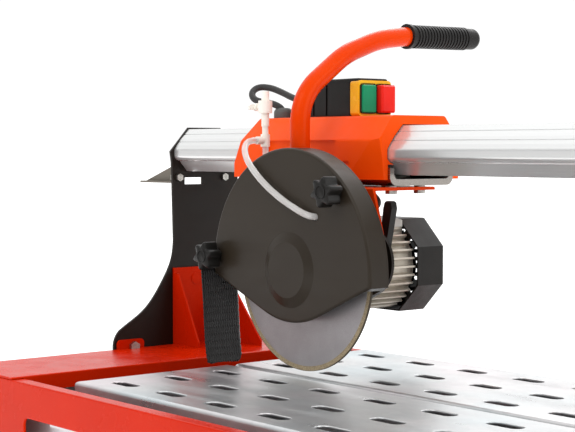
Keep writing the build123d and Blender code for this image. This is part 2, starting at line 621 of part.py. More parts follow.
def button(y, proud, bevel):
    """Rectangular push button; it sinks into its well."""
    z = (BUTTON_WELL[0] + 0.3, BUTTON_WELL[1] - 0.3)
    key = block((SWITCH_X - 7, SWITCH_X + proud), (y - 12, y + 12), z)
    key = fillet(key.edges().filter_by(Axis.X), 2.7)
    return chamfer(key.faces().sort_by(Axis.X)[-1].edges(), bevel)


def cable_gland():
    """Grey domed gland where the lead goes down into the housing."""
    base = rod_z(13, GLAND_X, GLAND_Y, (HOUSING_TOP, HOUSING_TOP + 14))
    base = fillet(base.edges().group_by(Axis.Z)[-1], 7)
    return base - rod_z(4.6, GLAND_X, GLAND_Y, (HOUSING_TOP + 4, HOUSING_TOP + 20))


def cord(points, r, limp=0.45):
    """Round tube along straight runs joined by arcs, each as large as its runs allow."""
    radii = []
    for a, b, c in zip(points, points[1:], points[2:]):
        one = Vector(*b) - Vector(*a)
        two = Vector(*c) - Vector(*b)
        turn = math.radians(one.get_angle(two))
        radii.append(limp * min(one.length, two.length) / math.tan(turn / 2))
    path = FilletPolyline(*points, radius=radii)
    start = Plane(origin=path @ 0, z_dir=path % 0)
    return sweep(start * Circle(r), path=path)


# ---- cutting head -------------------------------------------------------------------------
def guard_outline(r, corner_z):
    """Guard outline in the XZ plane: the disc above two lines that run under the arbor."""
    low = GUARD_CHIN_R + (r - GUARD_R)
    lift = GUARD_CHIN_R - GUARD_CHIN
    half = math.sqrt(r * r - (corner_z - GUARD_Z) ** 2)
    corners = []
    touches = []
    for sign in (-1, 1):
        corner_x = GUARD_X + sign * half
        reach = math.hypot(corner_x, corner_z - lift)
        angle = math.atan2(lift - corner_z, abs(corner_x)) + math.acos(low / reach)
        corners.append((corner_x, 0, corner_z))
        touches.append((sign * low * math.cos(angle), 0, lift - low * math.sin(angle)))
    chin = ThreePointArc(touches[0], (0, 0, lift - low), touches[1])
    crown = ThreePointArc(corners[1], (GUARD_X, 0, GUARD_Z + r), corners[0])
    return make_face([Line(corners[0], touches[0]), chin, Line(touches[1], corners[1]), crown])


def guard_cover():
    """Deep pressed front cover of the blade guard, with its round boss."""
    outer = xz_plate(guard_outline(GUARD_R, GUARD_CORNER), GUARD_FRONT, GUARD_REAR)
    outer = fillet(outer.faces().sort_by(Axis.Y)[0].edges(), 3.5)
    hollow = xz_plate(guard_outline(GUARD_R - GUARD_WALL, GUARD_CORNER), GUARD_FRONT + 2, 40)
    open_bottom = block((-138, 134), (GUARD_FRONT + 2, 40), (-140, -60))
    below = block((GUARD_X - 140, GUARD_X + 140), (GUARD_FRONT + 2, 40), (-100, -6))
    hollow += below & xz_plate(guard_outline(GUARD_R + 8, GUARD_CORNER - 8), -30, 40)
    cover = outer - hollow - open_bottom
    cover += Pos(0, GUARD_FRONT, 0) * Rot(90, 0, 0) * Cone(46.5, 34, 5, align=UPWARD)
    cover -= Pos(0, GUARD_FRONT + 2, 0) * Rot(90, 0, 0) * Cone(44.5, 32, 5, align=UPWARD)
    for x, z in KNOBS:
        cover -= rod_y(3 + RUN, x, (GUARD_FRONT - 8, GUARD_FRONT + 4), z)
    return cover - rod_y(4.4, SPRAY[0], (GUARD_FRONT - 8, GUARD_FRONT + 4), SPRAY[1])


def guard_back():
    """Back plate of the guard with the two studs that the cover hangs on."""
    face = guard_outline(GUARD_R, GUARD_CORNER)
    plate = xz_plate(face, GUARD_REAR + 0.2, GUARD_REAR + 2.2)
    plate -= rod_y(30, 0, (0, 10), 0)
    for x, z in KNOBS:
        plate += rod_y(3, x, (GUARD_FRONT - 20, GUARD_REAR + 1), z)
        plate += rod_y(5, x, (GUARD_FRONT + 2.2, GUARD_REAR + 1), z)
    for x, z in ((-70, 40), (60, 50)):
        plate += rod_y(7, x, (GUARD_REAR + 1, HEAD_Y), z)
    return plate


def star_knob(x, z):
    """Six-lobed clamp knob with a recessed cap."""
    y0 = GUARD_FRONT - 0.4
    y1 = y0 - 26
    body = rod_y(14.5, x, (y1, y0 - 6), z) + rod_y(9, x, (y0 - 8, y0), z)
    for k in range(6):
        angle = math.radians(60 * k + 15)
        body += rod_y(5.2, x + 14.8 * math.cos(angle), (y1, y0 - 6), z + 14.8 * math.sin(angle))
    body -= rod_y(8.5, x, (y1 - 1, y1 + 2), z) - rod_y(7.2, x, (y1 - 1, y1 + 2), z)
    return body - rod_y(3 + RUN, x, (GUARD_FRONT - 21, y0 + 1), z)


def head_plate():
    """Steel plate that carries the guard, the motor and the handle."""
    rounds = Circle(66).edges() + (Pos(PIVOT_X, PIVOT_Z) * Circle(20)).edges()
    rounds += (Pos(LEVER_X, LEVER_Z) * Circle(40)).edges()
    rounds += (Pos(HANDLE_X, 90) * Circle(24)).edges()
    plate = xz_plate(Rot(90, 0, 0) * make_hull(rounds), HEAD_Y, HEAD_Y + HEAD_T)
    plate -= rod_y(28, 0, (HEAD_Y - 1, HEAD_Y + 10), 0)
    plate -= rod_y(STUD_R + RUN, PIVOT_X, (HEAD_Y - 1, HEAD_Y + 10), PIVOT_Z)
    return plate - depth_slot()


def depth_slot():
    """Arc slot that the depth stud runs through as the head plunges."""
    dx = LEVER_X - PIVOT_X
    dz = LEVER_Z - PIVOT_Z
    reach = math.hypot(dx, dz)
    angle = math.degrees(math.atan2(dz, dx))
    half = STUD_R + SLOT_CLEAR
    steps = 12
    slot = None
    for k in range(steps):
        a0 = math.radians(angle - PLUNGE_UP + (PLUNGE_UP + PLUNGE_DOWN) * k / steps)
        a1 = math.radians(angle - PLUNGE_UP + (PLUNGE_UP + PLUNGE_DOWN) * (k + 1) / steps)
        mid = (a0 + a1) / 2
        length = reach * (a1 - a0)
        x = PIVOT_X + reach * math.cos(mid)
        z = PIVOT_Z + reach * math.sin(mid)
        piece = Pos(x, HEAD_Y + 2, z) * Rot(0, -math.degrees(mid), 0) * Box(2 * half, 10, length + 0.4)
        slot = piece if slot is None else slot + piece
    for end in (angle - PLUNGE_UP, angle + PLUNGE_DOWN):
        x = PIVOT_X + reach * math.cos(math.radians(end))
        z = PIVOT_Z + reach * math.sin(math.radians(end))
        slot += rod_y(half, x, (HEAD_Y - 3, HEAD_Y + 7), z)
    return slot


def motor_body():
    """Aluminium motor with a flanged nose and fins along its length."""
    nose = rod_y(42, 0, (HEAD_Y + HEAD_T, 48), 0)
    shield = rod_y(FIN_R, 0, (48, 60), 0)
    barrel = rod_y(MOTOR_R, 0, (60, 140), 0)
    body = nose + shield + barrel
    for k in range(FINS):
        angle = 360 * k / FINS
        if 65 < angle < 115:
            continue
        fin = block((MOTOR_R - 2, FIN_R), (60, 136), (-1.2, 1.2))
        body += Rot(0, -angle, 0) * fin
    body += block((-30, 30), (60, 136), (30, 49))
    body -= rod_y(8 + 0.4, 0, (30, 150), 0)
    return body


def motor_cover():
    """Light grey lid of the terminal box on top of the motor."""
    points = [(60, 49.3), (60, 63), (66, 65), (112, 63), (136, 57), (136, 49.3)]
    lid = yz_plate([(y, z) for y, z in points], -34, 34)
    lid = fillet(lid.edges().filter_by(Axis.Z), 5)
    return lid + rod_z(6.5, CABLE_X, CABLE_Y, (60, 68))


def fan_cover():
    """Black eight-sided cowl over the cooling fan, with slots in its back."""
    face = Rot(90, 0, 0) * Rot(0, 0, 22.5) * RegularPolygon(FAN_COVER_R, 8, major_radius=False)
    cowl = xz_plate(face, 137, MOTOR_END)
    cowl = fillet(cowl.faces().sort_by(Axis.Y)[-1].edges(), 5)
    inner = RegularPolygon(FAN_COVER_R - 2.2, 8, major_radius=False)
    cowl -= xz_plate(Rot(90, 0, 0) * Rot(0, 0, 22.5) * inner, 136, MOTOR_END - 2.5)
    for k in range(-4, 5):
        half = math.sqrt(46.0 ** 2 - (10 * k) ** 2)
        cowl -= block((-half, half), (MOTOR_END - 5, MOTOR_END + 1), (10 * k - 2.5, 10 * k + 2.5))
    for angle in (45, 135, 225, 315):
        lug = Rot(0, angle, 0) * block((MOTOR_R - 3, FAN_COVER_R - 1), (137, 141), (-6, 6))
        cowl += lug - rod_y(MOTOR_R + 0.2, 0, (130, 145), 0)
    return cowl


def motor_shaft():
    """Shaft from the blade nut to the fan, with its flange seat."""
    return rod_y(8, 0, (-15, 172), 0)


def blade():
    """Continuous-rim diamond blade."""
    core = rod_y(BLADE_R - RIM_W, 0, (-BLADE_CORE / 2, BLADE_CORE / 2), 0)
    rim = rod_y(BLADE_R, 0, (-RIM_T / 2, RIM_T / 2), 0)
    rim -= rod_y(BLADE_R - RIM_W - 0.01, 0, (-3, 3), 0)
    return core + rim - rod_y(12.7, 0, (-3, 3), 0)


def blade_flanges():
    """Inner flange with the blade seat, outer flange and the shaft nut."""
    inner = rod_y(25, 0, (1.15, 9), 0) + rod_y(12.65, 0, (-1.0, 2), 0) + rod_y(14, 0, (8, 30.5), 0)
    inner -= rod_y(8.01, 0, (-5, 40), 0)
    outer = rod_y(25, 0, (-6, -1.15), 0) - rod_y(8.01, 0, (-8, 0), 0)
    nut = hex_y(24, 0, (-14, -6.02), 0) - rod_y(8.01, 0, (-20, 0), 0)
    return group(inner, outer, nut)


def motor_fan():
    """Cooling fan on the back end of the shaft."""
    hub = rod_y(15, 0, (150, 168), 0)
    fan = hub + rod_y(40, 0, (150, 152), 0)
    for k in range(8):
        fan += Rot(0, 45 * k, 0) * block((13, 42), (150, 168), (-1, 1))
    return fan - rod_y(8.01, 0, (140, 180), 0)


def handle_path():
    """Centre line of the handle tube, in a plane across the machine."""
    points = [(HANDLE_Y, 34), (HANDLE_Y, 213), (92, 267), (150, 288.5), (GRIP_START_Y, 295)]
    points += [(GRIP_END_Y - 6, 297)]
    return FilletPolyline(*[(HANDLE_X, y, z) for y, z in points], radius=[68, 130, 170, 300])


def handle_tube():
    """Bent steel tube from the head plate up and back to the grip."""
    path = handle_path()
    plane = Plane(origin=path @ 0, z_dir=path % 0)
    tube = sweep(plane * Circle(HANDLE_R), path=path)
    bore = sweep(plane * Circle(HANDLE_R - 2), path=path)
    return tube - bore


def handle_grip():
    """Ribbed rubber sleeve over the end of the handle."""
    lean = math.degrees(math.atan2(2.0, GRIP_END_Y - 6 - GRIP_START_Y))
    length = GRIP_END_Y - GRIP_START_Y
    grip = Cylinder(14.2, length, align=UPWARD)
    grip = fillet(grip.edges().sort_by(Axis.Z)[-1], 9)
    for k in range(GRIP_RIBS):
        grip += Pos(0, 0, 13 + k * 5.4) * Cylinder(15.4, 3.0)
    grip += Cylinder(16.5, 5, align=UPWARD)
    inside = Cylinder(HANDLE_R, length - 6, align=UPWARD)
    grip -= inside
    return Pos(HANDLE_X, GRIP_START_Y, 295) * Rot(-90 + lean, 0, 0) * grip


def splash_flap():
    """Rubber curtain below the left end of the guard."""
    sheet = block((-160, -155), (-43, 13), (FLAP_BOTTOM, -14))
    tab = block((-160, -155), (-20, 6), (-15, 12))
    return sheet + tab


def water_tap():
    """Small tap at the top of the water line."""
    body = rod_z(9, TAP_X, TAP_Y, (TAP_Z - 8, TAP_Z + 8)) + rod_z(5, TAP_X, TAP_Y, (176, TAP_Z + 20))
    return body + rod_x(3, (TAP_X - 13.5, TAP_X - 7.5), TAP_Y, TAP_Z)


def tap_lever():
    """Butterfly lever of the tap."""
    hub = rod_x(5, (TAP_X - 20, TAP_X - 13.8), TAP_Y, TAP_Z)
    wing = block((TAP_X - 20, TAP_X - 16), (TAP_Y - 13, TAP_Y + 13), (TAP_Z - 3.5, TAP_Z + 3.5))
    return hub + fillet(wing.edges().filter_by(Axis.X), 3)


def hose_tee():
    """Fitting that splits the water line between the blade's two sides, with its riser."""
    tee = rod_z(6, TAP_X, TAP_Y, (150, 166)) + rod_y(5, TAP_X, (TAP_Y - 14, TAP_Y), 158)
    return tee + rod_z(4, TAP_X, TAP_Y, (165, 176))


# ---- cord routes --------------------------------------------------------------------------
SWITCH_CABLE = (
    (-129, 118, 212), (-146, 118, 212), (-164, 117, 216), (-183, 114, 224), (-201, 108, 231),
    (-213, 96, 232), (-213, 84, 224), (-203, 80, 214), (-189, 86, 210), (-176, 95, 208),
    (-168, 104, 200), (-168, 104, 192.5),
)
MOTOR_CABLE = (
    (CABLE_X, CABLE_Y, 97), (CABLE_X, CABLE_Y, 90), (CABLE_X + 9, CABLE_Y + 1, 84),
    (CABLE_X + 9, CABLE_Y + 1, 77), (CABLE_X, CABLE_Y, 72), (CABLE_X, CABLE_Y, 68),
)
FRONT_HOSE = (
    (TAP_X, TAP_Y - 14, 158), (TAP_X + 1, -4, 158), (-96, -18, 151), (-82, -27, 137),
    (-62, -31, 121), (-38, -32, 104), (-9, -32, 88), (20, -32, 76), (39, -31, 69),
    (48, -26, 66.3), (50, -18, 66),
)
REAR_HOSE = (
    (TAP_X, TAP_Y, 150), (TAP_X + 1, TAP_Y, 143), (TAP_X + 5, 18, 134), (TAP_X + 8, 11, 125),
    (TAP_X + 9, 8, 116),
)


def build():
    """Every node of the machine, by name."""
    nodes = {}
    windows = ((-209, 158), (198, 565))
    nodes["front_panel"] = folded_panel(FRONT_Y, 1, windows)
    nodes["rear_panel"] = folded_panel(REAR_Y, -1, ())
    nodes["left_end_deck"] = end_deck()
    nodes["right_end_deck"] = mirror_x(end_deck())
    nodes["left_upright"] = upright()
    nodes["right_upright"] = mirror_x(upright())
    pins = [pivot_bolt(), lock_stud()]
    nodes["tilt_bolts"] = group(*pins, *[mirror_x(pin) for pin in pins])
    rows = [-SLOT_ROWS * k - 51 for k in range(3)]
    nodes["table_front"] = table_panel((TABLE_Y0, -KERF), rows)
    rows = [SLOT_ROWS * k + 44 for k in range(3)]
    nodes["table_rear"] = table_panel((KERF, TABLE_Y1), rows)
    nodes["table_rests"] = table_rests()
    nodes["water_tray"] = water_tray()
    nodes["water_pump"] = water_pump()
    corners = {}
    for side, x in zip(("left", "right"), LEG_X):
        for depth, y in zip(("front", "rear"), LEG_Y):
            corners[f"{depth}_{side}"] = (x, y)
    for name, (x, y) in corners.items():
        nodes[f"leg_{name}"] = leg(x, y)
    nodes["leg_sockets"] = group(*[leg_socket(x, y) for x, y in corners.values()])
    nodes["rubber_feet"] = group(*[foot_cap(x, y) for x, y in corners.values()])

    nodes["left_bridge_plate"] = bridge_plate()
    nodes["right_bridge_plate"] = mirror_x(bridge_plate())
    nodes["rail"] = rail()
    nodes["side_brackets"] = group(side_bracket(), mirror_x(side_bracket()))
    bolts = plate_bolts()
    nodes["rail_bolts"] = group(*bolts, *[mirror_x(bolt) for bolt in bolts])
    nodes["left_tilt_lever"] = clamp_knob()
    nodes["right_tilt_lever"] = mirror_x(clamp_knob())

    nodes["carriage_housing"] = housing()
    nodes["slide_pads"] = group(*slide_pads())
    nodes["lower_channel"] = lower_channel()
    nodes["roller_left"] = roller(ROLLERS_X[0])
    nodes["roller_right"] = roller(ROLLERS_X[1])
    nodes["head_bracket"] = head_bracket()
    nodes["carriage_bolts"] = group(*carriage_bolts())
    nodes["depth_lever"] = depth_lever()
    nodes["switch_box"] = switch_box()
    nodes["switch_plate"] = switch_plate()
    nodes["start_button"] = button(BUTTONS_Y[0], 5.0, 1.2)
    nodes["stop_button"] = button(BUTTONS_Y[1], 13.0, 2.2)
    nodes["cable_gland"] = cable_gland()
    nodes["switch_cable"] = cord(SWITCH_CABLE, 4.5)
    nodes["motor_cable"] = cord(MOTOR_CABLE, 3.5)

    nodes["head_plate"] = head_plate()
    nodes["guard_cover"] = guard_cover()
    nodes["guard_back"] = guard_back()
    nodes["upper_guard_knob"] = star_knob(*KNOBS[0])
    nodes["lower_guard_knob"] = star_knob(*KNOBS[1])
    nodes["motor_body"] = motor_body()
    nodes["motor_cover"] = motor_cover()
    nodes["fan_cover"] = fan_cover()
    nodes["handle_tube"] = handle_tube()
    nodes["handle_grip"] = handle_grip()
    nodes["splash_flap"] = splash_flap()
    nodes["water_tap"] = water_tap()
    nodes["tap_lever"] = tap_lever()
    nodes["hose_tee"] = hose_tee()
    nodes["front_hose"] = cord(FRONT_HOSE, 4.0)
    nodes["rear_hose"] = cord(REAR_HOSE, 4.0)

    nodes["blade"] = blade()
    nodes["blade_flanges"] = blade_flanges()
    nodes["motor_shaft"] = motor_shaft()
    nodes["motor_fan"] = motor_fan()
    return nodes


if __name__ == "__main__":
    os.makedirs("parts", exist_ok=True)
    for node, shape in build().items():
        export(node, shape)
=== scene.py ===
import bpy
import json
import math
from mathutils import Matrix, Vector


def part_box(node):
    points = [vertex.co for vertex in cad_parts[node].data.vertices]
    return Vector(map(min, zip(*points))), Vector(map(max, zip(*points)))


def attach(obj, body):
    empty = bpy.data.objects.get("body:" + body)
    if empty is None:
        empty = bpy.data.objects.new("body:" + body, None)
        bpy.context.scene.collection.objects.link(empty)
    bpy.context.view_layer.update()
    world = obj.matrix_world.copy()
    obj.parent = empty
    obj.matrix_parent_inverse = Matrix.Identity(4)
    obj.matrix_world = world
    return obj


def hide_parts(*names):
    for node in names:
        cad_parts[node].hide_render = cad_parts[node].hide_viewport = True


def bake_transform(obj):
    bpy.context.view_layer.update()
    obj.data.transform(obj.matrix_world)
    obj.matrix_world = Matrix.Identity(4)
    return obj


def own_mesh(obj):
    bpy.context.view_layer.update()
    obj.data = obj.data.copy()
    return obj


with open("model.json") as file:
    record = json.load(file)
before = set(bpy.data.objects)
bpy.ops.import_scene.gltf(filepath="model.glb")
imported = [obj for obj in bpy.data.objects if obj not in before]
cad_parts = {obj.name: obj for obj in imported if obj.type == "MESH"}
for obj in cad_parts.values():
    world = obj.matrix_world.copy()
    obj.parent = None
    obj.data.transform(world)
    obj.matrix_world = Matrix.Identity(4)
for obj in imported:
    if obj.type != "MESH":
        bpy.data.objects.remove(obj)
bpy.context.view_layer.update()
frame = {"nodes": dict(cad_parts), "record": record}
bpy.ops.object.select_all(action="DESELECT")

# ---- places --------------------------------------------------------------------------------
# Places are millimetres from the middle of the blade: X along the rail, Y to the back, Z up.
low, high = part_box("blade")
BLADE = (low + high) / 2


def at(x, y, z):
    """A point given in millimetres from the middle of the blade, in the frame's metres."""
    return BLADE + Vector((x, y, z)) / 1000


def mm(value):
    """Millimetres as metres."""
    return value / 1000


# ---- camera --------------------------------------------------------------------------------
EYE = at(1420.4, -1184.5, 145.8)
LOOK = Vector((-0.7742, 0.6314, -0.0436))
FOCAL = 94.7
SENSOR = 36.0

camera = bpy.data.objects.new("camera", bpy.data.cameras.new("camera"))
bpy.context.scene.collection.objects.link(camera)
camera.location = EYE
camera.rotation_euler = LOOK.to_track_quat("-Z", "Y").to_euler()
camera.data.lens = FOCAL
camera.data.sensor_width = SENSOR
camera.data.clip_end = 100
bpy.context.scene.camera = camera
bpy.context.scene.view_settings.view_transform = "Standard"


# ---- materials -----------------------------------------------------------------------------
def linear(r, g, b):
    """A colour given as 8-bit screen values, as the shader wants it."""
    def one(v):
        v = v / 255
        return v / 12.92 if v <= 0.04045 else ((v + 0.055) / 1.055) ** 2.4
    return (one(r), one(g), one(b), 1.0)


class Finish:
    """One node material and short ways to add to it."""

    def __init__(self, name, metallic=0.0, roughness=0.4, **sockets):
        self.material = bpy.data.materials.new(name)
        self.material.use_nodes = True
        self.tree = self.material.node_tree
        self.shader = self.tree.nodes["Principled BSDF"]
        self.shader.inputs["Metallic"].default_value = metallic
        self.shader.inputs["Roughness"].default_value = roughness
        for socket, value in sockets.items():
            self.shader.inputs[socket.replace("_", " ")].default_value = value
        self.coords = self.add("ShaderNodeTexCoord").outputs["Object"]
        self.height = None

    def add(self, kind, **settings):
        """A new node with its settings."""
        node = self.tree.nodes.new(kind)
        for key, value in settings.items():
            setattr(node, key, value)
        return node

    def link(self, output, target):
        """A wire from an output to an input."""
        self.tree.links.new(output, target)

    def place(self, scale=(1, 1, 1), turn=(0, 0, 0), move=(0, 0, 0)):
        """Object coordinates, scaled, turned and moved."""
        node = self.add("ShaderNodeMapping")
        node.inputs["Scale"].default_value = scale
        node.inputs["Rotation"].default_value = turn
        node.inputs["Location"].default_value = move
        self.link(self.coords, node.inputs["Vector"])
        return node.outputs["Vector"]

    def noise(self, scale, detail=3.0, vector=None, rough=0.5):
        """Fractal noise; it stays within about 0.3 to 0.7."""
        node = self.add("ShaderNodeTexNoise")
        node.inputs["Scale"].default_value = scale
        node.inputs["Detail"].default_value = detail
        node.inputs["Roughness"].default_value = rough
        self.link(vector or self.coords, node.inputs["Vector"])
        return node.outputs["Fac"]

    def ramp(self, value, stops):
        """Colours along a value, as (position, colour) pairs."""
        node = self.add("ShaderNodeValToRGB")
        while len(node.color_ramp.elements) < len(stops):
            node.color_ramp.elements.new(0.5)
        for element, (position, colour) in zip(node.color_ramp.elements, stops):
            element.position = position
            element.color = colour
        self.link(value, node.inputs["Fac"])
        return node.outputs["Color"]

    def spread(self, value, low_to, high_to, low_from=0.3, high_from=0.7):
        """A number brought from one range, at first that of noise, to another."""
        node = self.add("ShaderNodeMapRange")
        for name, number in (("From Min", low_from), ("From Max", high_from),
                             ("To Min", low_to), ("To Max", high_to)):
            node.inputs[name].default_value = number
        self.link(value, node.inputs["Value"])
        return node.outputs["Result"]

    def mix(self, factor, a, b):
        """Two colours mixed by a factor; each may be a constant or a node's output."""
        node = self.add("ShaderNodeMix", data_type="RGBA")
        for target, value in ((0, factor), (6, a), (7, b)):
            if isinstance(value, (float, tuple)):
                node.inputs[target].default_value = value
            else:
                self.link(value, node.inputs[target])
        return node.outputs[2]

    def colour(self, value):
        """Drive the base colour."""
        self.link(value, self.shader.inputs["Base Color"])

    def roughness(self, value):
        """Drive the roughness."""
        self.link(value, self.shader.inputs["Roughness"])

    def bump(self, value, distance, strength=1.0):
        """Relief from a height value, in metres; calls add up."""
        node = self.add("ShaderNodeBump")
        node.inputs["Distance"].default_value = distance
        node.inputs["Strength"].default_value = strength
        self.link(value, node.inputs["Height"])
        if self.height is not None:
            self.link(self.height, node.inputs["Normal"])
        self.height = node.outputs["Normal"]
        self.link(self.height, self.shader.inputs["Normal"])


WARM = (1.0, 0.45, 0.2, 1.0)            # the orange coats tint what they reflect
DUST = linear(214, 150, 120)
CORE_EDGE = (mm(118.7), mm(119.2))      # where the blade's core ends and its rim begins
RIM_EDGE = (mm(124.0), mm(124.8))       # where the rim darkens to its outer edge


def powder_coat(name, colour, deep, gloss, shine):
    """Sprayed gloss coat: faint orange peel, soft patches of shade and a little dust."""
    f = Finish(name, roughness=gloss, Specular_IOR_Level=shine, Specular_Tint=WARM)
    patches = f.spread(f.noise(6.0, 3.0), 0.0, 1.0)
    base = f.mix(patches, colour, deep)
    dust = f.spread(f.noise(520.0, 2.0), 0.0, 0.05, 0.62, 0.75)
    f.colour(f.mix(dust, base, DUST))
    f.roughness(f.spread(f.noise(30.0, 5.0), gloss - 0.05, gloss + 0.08))
    f.bump(f.noise(260.0, 2.0), 0.0003, 0.25)
    f.bump(f.noise(60.0, 2.0), 0.0006, 0.12)
    return f.material


def cast_coat(name, colour, deep):
    """Coarser textured coat of the casting, with fine pimples."""
    f = Finish(name, roughness=0.42, Specular_IOR_Level=0.25, Specular_Tint=WARM)
    patches = f.spread(f.noise(7.0, 4.0), 0.0, 1.0)
    f.colour(f.mix(patches, colour, deep))
    f.roughness(f.spread(f.noise(60.0, 5.0), 0.36, 0.5))
    f.bump(f.noise(700.0, 2.0), 0.0004, 0.45)
    f.bump(f.noise(2200.0, 1.0), 0.0002, 0.3)
    return f.material


def dark_coat(name, colour, deep, gloss):
    """Dark satin coat with fine grain and faint wiping marks."""
    f = Finish(name, roughness=gloss, Specular_IOR_Level=0.2)
    cloud = f.spread(f.noise(8.0, 4.0), 0.0, 1.0)
    f.colour(f.mix(cloud, colour, deep))
    wiped = f.noise(18.0, 4.0, f.place((1, 1, 4)))
    f.roughness(f.spread(wiped, gloss - 0.05, gloss + 0.07))
    f.bump(f.noise(1300.0, 2.0), 0.00015, 0.35)
    return f.material


def galvanised(name):
    """Zinc sheet: soft crystal patches, faint blue and pink bloom, wipe marks."""
    f = Finish(name, metallic=0.8, roughness=0.32)
    crystals = f.add("ShaderNodeTexVoronoi", feature="F1")
    crystals.inputs["Scale"].default_value = 60.0
    f.link(f.coords, crystals.inputs["Vector"])
    split = f.add("ShaderNodeSeparateColor")
    f.link(crystals.outputs["Color"], split.inputs["Color"])
    greys = ((0.0, linear(190, 192, 194)), (1.0, linear(208, 209, 210)))
    tints = ((0.3, linear(184, 198, 202)), (0.5, linear(200, 200, 200)), (0.7, linear(214, 200, 204)))
    shade = f.ramp(split.outputs["Red"], greys)
    bloom = f.ramp(f.noise(5.0, 2.0), tints)
    f.colour(f.mix(0.6, shade, bloom))
    streaks = f.noise(7.0, 5.0, f.place((1, 5, 1)))
    f.roughness(f.spread(streaks, 0.26, 0.42))
    f.bump(f.noise(14.0, 3.0), 0.0008, 0.10)
    scratches = f.noise(160.0, 4.0, f.place((0.25, 6, 1), (0, 0, 0.5)))
    f.bump(f.spread(scratches, 0.0, 1.0, 0.62, 0.72), 0.0001, 0.2)
    return f.material


def drawn_metal(name, colour, dull, low_rough, high_rough, along=(0.4, 60, 60), metallic=1.0,
                relief=0.12):
    """Metal with fine lines along X, or with an even grain."""
    f = Finish(name, metallic=metallic, roughness=low_rough)
    lines = f.noise(14.0, 4.0, f.place(along), 0.6)
    f.colour(f.mix(f.spread(lines, 0.0, 1.0), colour, dull))
    f.roughness(f.spread(lines, low_rough, high_rough))
    f.bump(lines, 0.00005, relief)
    return f.material


def cast_metal(name, colour, dull):
    """Raw die casting: grainy, with darker patches at random."""
    f = Finish(name, metallic=0.5, roughness=0.4)
    f.colour(f.mix(f.spread(f.noise(35.0, 5.0), 0.0, 1.0), colour, dull))
    f.roughness(f.spread(f.noise(70.0, 4.0), 0.32, 0.5))
    f.bump(f.noise(700.0, 3.0), 0.0003, 0.4)
    return f.material


def diamond_blade(name):
    """Blasted steel core and a sandy sintered rim, by the distance from the arbor."""
    f = Finish(name, metallic=0.7, roughness=0.45)
    centred = f.place(move=tuple(-v for v in BLADE))
    flat = f.add("ShaderNodeVectorMath", operation="MULTIPLY")
    flat.inputs[1].default_value = (1, 0, 1)
    f.link(centred, flat.inputs[0])
    size = f.add("ShaderNodeVectorMath", operation="LENGTH")
    f.link(flat.outputs[0], size.inputs[0])
    on_rim = f.spread(size.outputs["Value"], 0.0, 1.0, *CORE_EDGE)
    inner_rim = f.spread(size.outputs["Value"], 1.0, 0.0, *RIM_EDGE)
    speckle = f.spread(f.noise(900.0, 3.0), 0.0, 1.0, 0.35, 0.65)
    cloud = f.spread(f.noise(30.0, 6.0), 0.0, 1.0)
    steel = f.mix(cloud, linear(186, 184, 186), linear(164, 161, 162))
    grain = f.mix(f.spread(f.noise(1600.0, 2.0), 0.0, 1.0), steel, linear(150, 148, 150))
    sand = f.mix(speckle, linear(176, 160, 130), linear(128, 112, 86))
    sand = f.mix(inner_rim, linear(70, 62, 50), sand)
    f.colour(f.mix(on_rim, grain, sand))
    f.link(f.spread(on_rim, 0.7, 0.0, 0.0, 1.0), f.shader.inputs["Metallic"])
    f.roughness(f.spread(on_rim, 0.45, 0.8, 0.0, 1.0))
    f.bump(f.noise(1400.0, 2.0), 0.0003, 0.4)
    return f.material


def plastic(name, colour, light, gloss, grain=1200.0, relief=0.5):
    """Moulded plastic: fine spark-eroded grain and slightly uneven gloss."""
    f = Finish(name, roughness=gloss, Specular_IOR_Level=0.22)
    f.colour(f.mix(f.spread(f.noise(20.0, 4.0), 0.0, 1.0), colour, light))
    f.roughness(f.spread(f.noise(50.0, 4.0), gloss - 0.05, gloss + 0.08))
    f.bump(f.noise(grain, 2.0), 0.0002, relief)
    return f.material


def rubber(name, colour, dusty, rough=0.6, shine=0.2):
    """Matt rubber with a dusty bloom."""
    f = Finish(name, roughness=rough, Specular_IOR_Level=shine)
    f.colour(f.mix(f.spread(f.noise(45.0, 5.0), 0.0, 1.0), colour, dusty))
    f.roughness(f.spread(f.noise(90.0, 4.0), rough - 0.08, rough + 0.12))
    f.bump(f.noise(800.0, 3.0), 0.0003, 0.5)
    return f.material


def clear_tube(name):
    """Soft clear tube, slightly milky."""
    f = Finish(name, roughness=0.1, Transmission_Weight=0.55, IOR=1.4)
    milk = f.spread(f.noise(60.0, 3.0), 0.0, 1.0)
    f.colour(f.mix(milk, (0.93, 0.91, 0.89, 1), (0.82, 0.79, 0.76, 1)))
    f.roughness(f.spread(f.noise(80.0, 3.0), 0.06, 0.16))
    return f.material


ORANGE = powder_coat("orange_coat", linear(200, 34, 1), linear(190, 30, 1), 0.24, 0.1)
HANDLE_ORANGE = powder_coat("handle_orange", linear(218, 60, 2), linear(212, 54, 2), 0.18, 0.2)
CAST_ORANGE = cast_coat("textured_orange", linear(246, 80, 4), linear(240, 72, 3))
BLACK_COAT = dark_coat("black_coat", linear(30, 23, 17), linear(25, 19, 14), 0.42)
BRACKET_COAT = dark_coat("bracket_coat", linear(120, 114, 104), linear(104, 98, 90), 0.45)
GUARD_COAT = dark_coat("guard_coat", linear(48, 41, 32), linear(43, 36, 28), 0.34)
ZINC_SHEET = galvanised("zinc_sheet")
ZINC = drawn_metal("zinc_plate", linear(190, 188, 182), linear(150, 148, 142), 0.25, 0.45, (20, 20, 20))
RAIL_METAL = drawn_metal("drawn_aluminium", linear(222, 223, 222), linear(216, 217, 217), 0.2, 0.23,
                         along=(0.1, 60, 60), metallic=0.6, relief=0.02)
CHANNEL_METAL = drawn_metal("polished_aluminium", linear(164, 158, 152), linear(146, 140, 134), 0.2, 0.3)
CASTING = cast_metal("motor_casting", linear(212, 205, 192), linear(184, 176, 162))
BLADE_METAL = diamond_blade("diamond_blade")
